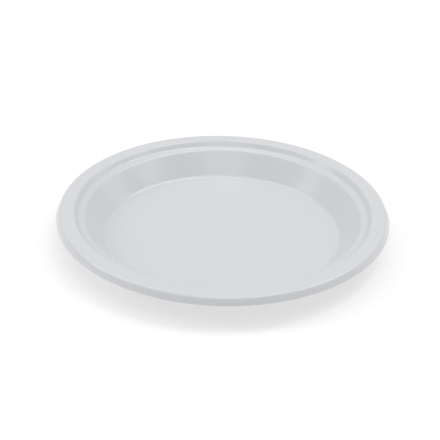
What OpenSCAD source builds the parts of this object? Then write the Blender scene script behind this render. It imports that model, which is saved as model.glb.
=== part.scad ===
// Round disposable plate, formed from one thin sheet of white plastic.
// Its section is the line of the sheet's upper face, bent at five corners between
// straight stretches. The sheet's thickness lies under that line, and the section
// is turned once about the plate's axis.

/* [Plate] */
// Outer diameter, over the foot of the lip
plate_d = 220; // [150:1:300]
// Height from the table to the top of the rim
plate_h = 20; // [14:0.5:40]
// Thickness of the sheet
sheet_t = 0.5; // [0.3:0.05:1.2]

/* [Bowl] */
// Slope of the bowl's wall, in degrees from level
wall_slope = 47; // [35:1:75]
// Inside radius of the bend from the floor to the wall
floor_bend = 6; // [2:0.5:20]
// Inside radius of the bend over the mouth of the bowl
mouth_bend = 2.5; // [0.5:0.1:4]

/* [Ledge and step] */
// Width of the narrow ledge around the mouth, corner to corner
ledge_w = 3.9; // [1.5:0.1:6]
// Slope of the ledge, which falls towards the bowl, in degrees
ledge_slope = 18; // [0:1:25]
// Height of the step from the ledge up to the rim
step_h = 3.3; // [1:0.1:5]
// Slope of the step, in degrees from level
step_slope = 49; // [35:1:80]
// Inside radius of the hollow bend at the foot of the step
foot_bend = 3.2; // [0.5:0.1:4]
// Inside radius of the bend at the top of the step
top_bend = 1.4; // [0.3:0.1:2]

/* [Rim and lip] */
// Width of the rim, from the top of the step to the rim's outer corner
rim_w = 9.4; // [5:0.1:20]
// Slope by which the rim rises outwards, in degrees (0 is a flat rim)
rim_slope = 0; // [0:0.5:12]
// Drop of the turned-down lip below the rim's outer corner
lip_h = 4.4; // [2.5:0.1:8]
// Slope of the lip, which flares outwards as it drops, in degrees from level
lip_slope = 63; // [50:1:88]
// Inside radius of the bend from the rim to the lip
lip_bend = 1.7; // [0.3:0.1:2.5]

/* [Hidden] */

// Largest angle between two neighbouring points of a bend
bend_step = 5;
// Facets of the full turn
$fn = 180;

// The rim's outer corner is pulled up so that the rounded top ends at plate_h
lip_round = lip_bend + sheet_t;
lip_turn = rim_slope + lip_slope;
rim_corner_z = plate_h - lip_round * (1 - cos(rim_slope) - sin(rim_slope) * tan(lip_turn / 2));
step_top_z = rim_corner_z - rim_w * tan(rim_slope);
step_foot_z = step_top_z - step_h;
mouth_z = step_foot_z - ledge_w * tan(ledge_slope);

lip_foot_r = plate_d / 2;
rim_corner_r = lip_foot_r - lip_h / tan(lip_slope);
step_top_r = rim_corner_r - rim_w;
step_foot_r = step_top_r - step_h / tan(step_slope);
mouth_r = step_foot_r - ledge_w;
floor_r = mouth_r - (mouth_z - sheet_t) / tan(wall_slope);

// Corners of the sheet's upper face, from the axis to the foot of the lip
corners = [
    [0, sheet_t],
    [floor_r, sheet_t],
    [mouth_r, mouth_z],
    [step_foot_r, step_foot_z],
    [step_top_r, step_top_z],
    [rim_corner_r, rim_corner_z],
    [lip_foot_r, rim_corner_z - lip_h]
];
// Inside radius of the bend at each corner between the two ends
bends = [0, floor_bend, mouth_bend, foot_bend, top_bend, lip_bend, 0];
last = len(corners) - 1;

function heading(i) =
    let (run = corners[i + 1] - corners[i]) atan2(run[1], run[0]);
function along(angle) = [cos(angle), sin(angle)];
function left_of(angle) = [-sin(angle), cos(angle)];

// Longest tangent that a bend may use: half of the shorter stretch beside it
function bend_room(i) =
    min(norm(corners[i] - corners[i - 1]), norm(corners[i + 1] - corners[i])) / 2;

// Points of the bend at corner i, on the line `under` below the upper face.
// A hollow corner turns left and has its inside on the upper face. A raised
// corner turns right and has its inside on the underside.
function bend_points(i, under) =
    let (
        turn = heading(i) - heading(i - 1),
        upper = turn > 0 ? bends[i] : bends[i] + sheet_t,
        radius = min(upper, bend_room(i) / tan(abs(turn) / 2)),
        from = corners[i] - along(heading(i - 1)) * radius * tan(abs(turn) / 2),
        centre = from + left_of(heading(i - 1)) * sign(turn) * radius,
        steps = ceil(abs(turn) / bend_step)
    )
    [for (k = [0 : steps])
        centre - left_of(heading(i - 1) + turn * k / steps) * (sign(turn) * radius + under)];

// One face of the sheet, `under` below the upper face, from the axis to the lip
function face_line(under) = concat(
    [corners[0] - [0, under]],
    [for (i = [1 : last - 1]) each bend_points(i, under)],
    [corners[last] - left_of(heading(last - 1)) * under]
);

function reversed(points) = [for (i = [len(points) - 1 : -1 : 0]) points[i]];

module plate() {
    color("whitesmoke")
        rotate_extrude()
            polygon(concat(face_line(0), reversed(face_line(sheet_t))));
}

plate();
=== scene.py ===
# A round plate of thin white plastic, on a pale table in soft studio light.
import math
import bmesh
import bpy
from mathutils import Matrix, Vector


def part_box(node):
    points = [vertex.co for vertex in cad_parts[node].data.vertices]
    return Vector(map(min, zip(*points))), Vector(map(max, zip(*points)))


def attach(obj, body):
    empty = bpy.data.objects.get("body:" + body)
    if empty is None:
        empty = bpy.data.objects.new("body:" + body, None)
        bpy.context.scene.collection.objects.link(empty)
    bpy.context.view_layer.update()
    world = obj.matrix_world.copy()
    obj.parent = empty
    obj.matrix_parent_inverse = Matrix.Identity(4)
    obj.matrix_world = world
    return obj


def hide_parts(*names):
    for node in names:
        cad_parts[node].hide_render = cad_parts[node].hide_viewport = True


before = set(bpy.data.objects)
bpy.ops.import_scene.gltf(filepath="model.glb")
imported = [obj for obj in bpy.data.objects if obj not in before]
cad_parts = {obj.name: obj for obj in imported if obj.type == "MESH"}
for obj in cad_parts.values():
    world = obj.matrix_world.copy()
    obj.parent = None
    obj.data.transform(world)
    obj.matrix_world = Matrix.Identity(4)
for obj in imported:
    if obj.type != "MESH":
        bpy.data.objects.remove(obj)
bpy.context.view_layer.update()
print("frame loaded")

mm = 0.001
scene = bpy.context.scene
scene.view_settings.view_transform = "Standard"


# Helpers for the materials: a sum written with a Wire adds a Math node
class Wire:
    def __init__(self, bench, socket):
        self.bench, self.socket = bench, socket

    def sum(self, operation, first, second):
        return self.bench.node("ShaderNodeMath", {"operation": operation}, {0: first, 1: second})

    def __add__(self, other):
        return self.sum("ADD", self, other)

    def __radd__(self, other):
        return self.sum("ADD", other, self)

    def __sub__(self, other):
        return self.sum("SUBTRACT", self, other)

    def __rsub__(self, other):
        return self.sum("SUBTRACT", other, self)

    def __mul__(self, other):
        return self.sum("MULTIPLY", self, other)

    def __rmul__(self, other):
        return self.sum("MULTIPLY", other, self)


class Bench:
    def __init__(self, name):
        self.material = bpy.data.materials.new(name)
        self.material.use_nodes = True
        self.tree = self.material.node_tree
        self.tree.nodes.clear()

    def node(self, kind, settings, inputs, output=0):
        made = self.tree.nodes.new(kind)
        for name, value in settings.items():
            setattr(made, name, value)
        for key, value in inputs.items():
            if isinstance(value, Wire):
                self.tree.links.new(value.socket, made.inputs[key])
            else:
                made.inputs[key].default_value = value
        return Wire(self, made.outputs[output]) if made.outputs else None


# The plate
plateSize = {                    # millimetres and degrees, as in the CAD section
    "sheet": 0.5,
    "wallSlope": 47,
    "floorBend": 6,
    "mouthBend": 2.5,
    "ledgeWide": 3.9,
    "ledgeSlope": 18,
    "stepHigh": 3.3,
    "stepSlope": 49,
    "footBend": 3.2,
    "topBend": 1.4,
    "rimWide": 9.4,
    "rimSlope": 0,
    "lipHigh": 4.4,
    "lipSlope": 63,
    "lipBend": 1.7,
    "cutRound": 0.12,            # how far the trimmed foot's two edges are eased
    "cutInset": 0.3,             # where the eased edge's middle lies, 0 at the sharp corner
    "turns": 240,                # facets around
    "bendStep": 3,               # degrees between neighbouring points of a bend
    "floorRings": (14, 28, 42, 54, 65),    # radii of the rings across the flat floor
    "axisReach": 1e-6,           # a point this near the axis is one vertex, not a ring
}


def tangent(degrees):
    return math.tan(math.radians(degrees))


def leftOf(angle):
    return Vector((-math.sin(angle), math.cos(angle)))


def sectionCorners(size, footR, high):
    # corners of the sheet's upper face, from the axis to the foot of the lip
    lipRound = size["lipBend"] + size["sheet"]
    lipTurn = size["rimSlope"] + size["lipSlope"]
    rimSlope = math.radians(size["rimSlope"])
    rimZ = high - lipRound * (1 - math.cos(rimSlope) - math.sin(rimSlope) * tangent(lipTurn / 2))
    rimR = footR - size["lipHigh"] / tangent(size["lipSlope"])
    topR = rimR - size["rimWide"]
    topZ = rimZ - size["rimWide"] * tangent(size["rimSlope"])
    stepR = topR - size["stepHigh"] / tangent(size["stepSlope"])
    stepZ = topZ - size["stepHigh"]
    mouthR = stepR - size["ledgeWide"]
    mouthZ = stepZ - size["ledgeWide"] * tangent(size["ledgeSlope"])
    floorR = mouthR - (mouthZ - size["sheet"]) / tangent(size["wallSlope"])
    return [Vector(corner) for corner in (
        (0, size["sheet"]), (floorR, size["sheet"]), (mouthR, mouthZ), (stepR, stepZ),
        (topR, topZ), (rimR, rimZ), (footR, rimZ - size["lipHigh"]))]


def faceLine(size, corners, under):
    # one face of the sheet, so far below its upper face, with every bend rounded
    bends = [size["floorBend"], size["mouthBend"], size["footBend"], size["topBend"], size["lipBend"]]
    line = [corners[0] - Vector((0, under))]
    line += [Vector((radius, corners[0].y - under)) for radius in size["floorRings"]]
    for before, corner, after, bend in zip(corners, corners[1:], corners[2:], bends):
        first, second = corner - before, after - corner
        start, turn = math.atan2(first.y, first.x), -first.angle_signed(second)
        hand = math.copysign(1, turn)
        radius = bend if turn > 0 else bend + size["sheet"]
        reach = math.tan(abs(turn) / 2)
        radius = min(radius, min(first.length, second.length) / 2 / reach)
        centre = corner - first.normalized() * radius * reach
        centre += leftOf(start) * hand * radius
        steps = math.ceil(math.degrees(abs(turn)) / size["bendStep"])
        for k in range(steps + 1):
            line.append(centre - leftOf(start + turn * k / steps) * (hand * radius + under))
    line.append(corners[-1] - leftOf(math.radians(-size["lipSlope"])) * under)
    return line


def softenedCut(line, far, size):
    # the trimmed foot: the line's last corner is eased by a chamfer of three points
    edge = line[-1]
    back = (line[-2] - edge).normalized() * size["cutRound"]
    across = (far - edge).normalized() * size["cutRound"]
    return line[:-1] + [edge + back, edge + (back + across) * size["cutInset"], edge + across]


def turnedMesh(name, outline, size):
    bm = bmesh.new()
    turns = size["turns"]
    rings = []
    for radius, high in outline:
        ring = []
        for k in range(turns if radius > size["axisReach"] else 1):
            angle = math.tau * k / turns
            spot = (radius * mm * math.cos(angle), radius * mm * math.sin(angle), high * mm)
            ring.append(bm.verts.new(spot))
        rings.append(ring)
    for inner, outer in zip(rings, rings[1:]):
        for k in range(turns):
            corners = [inner[k % len(inner)], outer[k % len(outer)],
                       outer[(k + 1) % len(outer)], inner[(k + 1) % len(inner)]]
            bm.faces.new(list(dict.fromkeys(corners)))
    for face in bm.faces:
        face.smooth = True
    mesh = bpy.data.meshes.new(name)
    bm.to_mesh(mesh)
    bm.free()
    return mesh


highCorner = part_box("plate")[1]
plateEdge, plateHigh = highCorner.x / mm, highCorner.z / mm
corners = sectionCorners(plateSize, plateEdge, plateHigh)
upper = faceLine(plateSize, corners, 0)
under = faceLine(plateSize, corners, plateSize["sheet"])
upperCut = softenedCut(upper, under[-1], plateSize)
underCut = softenedCut(under, upper[-1], plateSize)
shellMesh = turnedMesh("plateShell", upperCut + underCut[::-1], plateSize)
shell = bpy.data.objects.new("plateShell", shellMesh)
scene.collection.objects.link(shell)
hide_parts("plate")
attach(shell, "root")
print("plate turned:", len(shell.data.polygons), "faces")


# White satin plastic
plasticLook = {
    "colour": (0.637, 0.645, 0.664),
    "cloudTone": 0.012,          # how far the colour drifts to either side
    "cloudSize": 45,             # mm
    "cloudDetail": 3,
    "roughness": 0.2,
    "roughDrift": 0.05,
    "glossIndex": 1.55,
    "grainSize": 0.35,           # mm, the fine satin of the forming tool
    "grainDeep": 0.0012,         # mm
    "grainDetail": 2,
    "waveSize": 32,              # mm, slow unevenness of the thin sheet
    "waveDeep": 0.05,            # mm
    "waveDetail": 1,
    "drawMarks": 16,             # soft marks down the wall, per radian
    "drawDeep": 0.006,           # mm
    "drawDetail": 2,
    "drawFoot": (1, 4),          # mm above the plate's base, where the marks come in
    "drawTop": (13, 15),         # mm above the plate's base, where they fade out
    "trimWide": 0.35,            # mm of the lip's foot, left duller by the trimming
    "trimRough": 0.25,           # added roughness at the very foot
}


def tinted(colour, share):
    return [channel * share for channel in colour] + [1]


def satinPlastic(look):
    bench = Bench("satinPlastic")
    place = bench.node("ShaderNodeTexCoord", {}, {}, "Object")
    flat = bench.node("ShaderNodeVectorMath", {"operation": "MULTIPLY"}, {0: place, 1: (1, 1, 0)})
    outward = bench.node("ShaderNodeVectorMath", {"operation": "NORMALIZE"}, {0: flat})
    radius = bench.node("ShaderNodeVectorMath", {"operation": "LENGTH"}, {0: flat}, "Value")
    high = bench.node("ShaderNodeVectorMath", {"operation": "DOT_PRODUCT"}, {0: place, 1: (0, 0, 1)}, "Value")

    def noise(where, size, detail):
        return bench.node("ShaderNodeTexNoise", {}, {"Vector": where, "Scale": 1 / size, "Detail": detail})

    def fade(value, start, end):
        return bench.node("ShaderNodeMapRange", {"interpolation_type": "SMOOTHSTEP"},
                          {"Value": value, "From Min": start * mm, "From Max": end * mm})

    cloud = noise(place, look["cloudSize"] * mm, look["cloudDetail"])
    grain = noise(place, look["grainSize"] * mm, look["grainDetail"])
    wave = noise(place, look["waveSize"] * mm, look["waveDetail"])
    marks = noise(outward, 1 / look["drawMarks"], look["drawDetail"])
    wall = fade(high, *look["drawFoot"]) * (1 - fade(high, *look["drawTop"]))
    trim = fade(radius, plateEdge - look["trimWide"], plateEdge)

    tone = bench.node("ShaderNodeMix", {"data_type": "RGBA"}, {
        "Factor": cloud, "A": tinted(look["colour"], 1 - look["cloudTone"]),
        "B": tinted(look["colour"], 1 + look["cloudTone"])}, "Result")
    # heights in millimetres
    relief = grain * look["grainDeep"] + wave * look["waveDeep"] + marks * wall * look["drawDeep"]
    bumps = bench.node("ShaderNodeBump", {}, {"Height": relief, "Strength": 1, "Distance": mm})
    rough = look["roughness"] + (cloud - 0.5) * look["roughDrift"] + trim * look["trimRough"]
    skin = bench.node("ShaderNodeBsdfPrincipled", {}, {
        "Base Color": tone, "Roughness": rough, "IOR": look["glossIndex"], "Normal": bumps})
    bench.node("ShaderNodeOutputMaterial", {}, {"Surface": skin})
    return bench.material


shell.data.materials.append(satinPlastic(plasticLook))
print("plastic made")


# Table, lights and camera
tableLook = {                    # a pale shooting table, lit from below as well as from above
    "wide": 9.0,                 # metres
    "under": 0.0003,             # metres from the plate's base down to the table
    "colour": (0.5, 0.5, 0.5, 1),
    "roughness": 0.85,
    "glow": 0.47,
}
studioLight = {
    "reach": 2.0,                # metres from the plate to each lamp
    "skyGlow": 0.6,
    # each lamp is turned from the camera's side to the right, and raised, in degrees
    "lamps": {
        "rearRightBox": {"turn": 120, "rise": 52, "wide": 0.7, "power": 4.0},
        "rearRightHighBox": {"turn": 120, "rise": 70, "wide": 0.7, "power": 4.5},
        "rearRightLowBox": {"turn": 120, "rise": 32, "wide": 0.7, "power": 0.9},
        "rearLeftBox": {"turn": 240, "rise": 60, "wide": 1.1, "power": 4.6},
        "rearTopBox": {"turn": 180, "rise": 70, "wide": 0.7, "power": 2.2},
        "leftBox": {"turn": 270, "rise": 32, "wide": 0.7, "power": 5.2},
        "rightBox": {"turn": 90, "rise": 52, "wide": 0.7, "power": 1.5},
        "frontTopBox": {"turn": 0, "rise": 75, "wide": 1.2, "power": 2.6},
        "frontLeftSpot": {"turn": 347, "rise": 57, "wide": 0.3, "power": 0.4},
        "frontRightSpot": {"turn": 13, "rise": 57, "wide": 0.3, "power": 0.4},
    },
}
cameraSet = {
    "distance": 0.7532,          # metres from the middle of the rim
    "elevation": 29.5,           # degrees
    "roll": 1.47,                # degrees
    "focal": 1135.05,            # pixels of the square frame, 440 across
    "frame": 440,
    "film": 36,                  # millimetres across the film
    "rimMiddle": (223.1, 207.0),    # where the middle of the rim falls in the frame, in pixels
    "rimHigh": 0.0196,           # metres
}


def tableTop(look):
    mesh = bpy.data.meshes.new("tableTop")
    half, low = look["wide"] / 2, -look["under"]
    mesh.from_pydata([(-half, -half, low), (half, -half, low), (half, half, low), (-half, half, low)],
                     [], [(0, 1, 2, 3)])
    top = bpy.data.objects.new("tableTop", mesh)
    scene.collection.objects.link(top)
    bench = Bench("paleTable")
    skin = bench.node("ShaderNodeBsdfPrincipled", {}, {
        "Base Color": look["colour"], "Roughness": look["roughness"],
        "Emission Color": (1, 1, 1, 1), "Emission Strength": look["glow"]})
    bench.node("ShaderNodeOutputMaterial", {}, {"Surface": skin})
    mesh.materials.append(bench.material)


def softLight(name, spot, reach):
    lamp = bpy.data.lights.new(name, "AREA")
    lamp.shape = "DISK"
    lamp.size = spot["wide"]
    lamp.energy = spot["power"]
    turn, rise = math.radians(spot["turn"]), math.radians(spot["rise"])
    level = math.cos(rise)
    outward = Vector((math.sin(turn) * level, -math.cos(turn) * level, math.sin(rise)))
    holder = bpy.data.objects.new(name, lamp)
    holder.location = outward * reach
    holder.rotation_euler = (-outward).to_track_quat("-Z", "Y").to_euler()
    scene.collection.objects.link(holder)


def photoCamera(look):
    lift, roll = math.radians(look["elevation"]), math.radians(look["roll"])
    middle = Vector((0, 0, look["rimHigh"]))
    spot = middle + look["distance"] * Vector((0, -math.cos(lift), math.sin(lift)))
    away = (spot - middle).normalized()
    side = Vector((1, 0, 0))
    facing = Matrix((side, away.cross(side), away)).transposed()
    # swung from the middle of the rim, so that it falls where the photo has it
    half = look["frame"] / 2
    across, down = look["rimMiddle"][0] - half, look["rimMiddle"][1] - half
    turned = Vector((across, -down, -look["focal"])).normalized()
    swing = turned.rotation_difference(Vector((0, 0, -1)))
    lens = bpy.data.cameras.new("photoCamera")
    lens.sensor_width = look["film"]
    lens.lens = look["focal"] * look["film"] / look["frame"]
    holder = bpy.data.objects.new("photoCamera", lens)
    aimed = facing @ Matrix.Rotation(roll, 3, "Z") @ swing.to_matrix()
    holder.matrix_world = Matrix.Translation(spot) @ aimed.to_4x4()
    scene.collection.objects.link(holder)
    scene.camera = holder


tableTop(tableLook)
for name, spot in studioLight["lamps"].items():
    softLight(name, spot, studioLight["reach"])
scene.world = bpy.data.worlds.new("studio")
scene.world.use_nodes = True
sky = scene.world.node_tree.nodes["Background"]
sky.inputs["Color"].default_value = (1, 1, 1, 1)
sky.inputs["Strength"].default_value = studioLight["skyGlow"]
photoCamera(cameraSet)
print("table, lights and camera set")
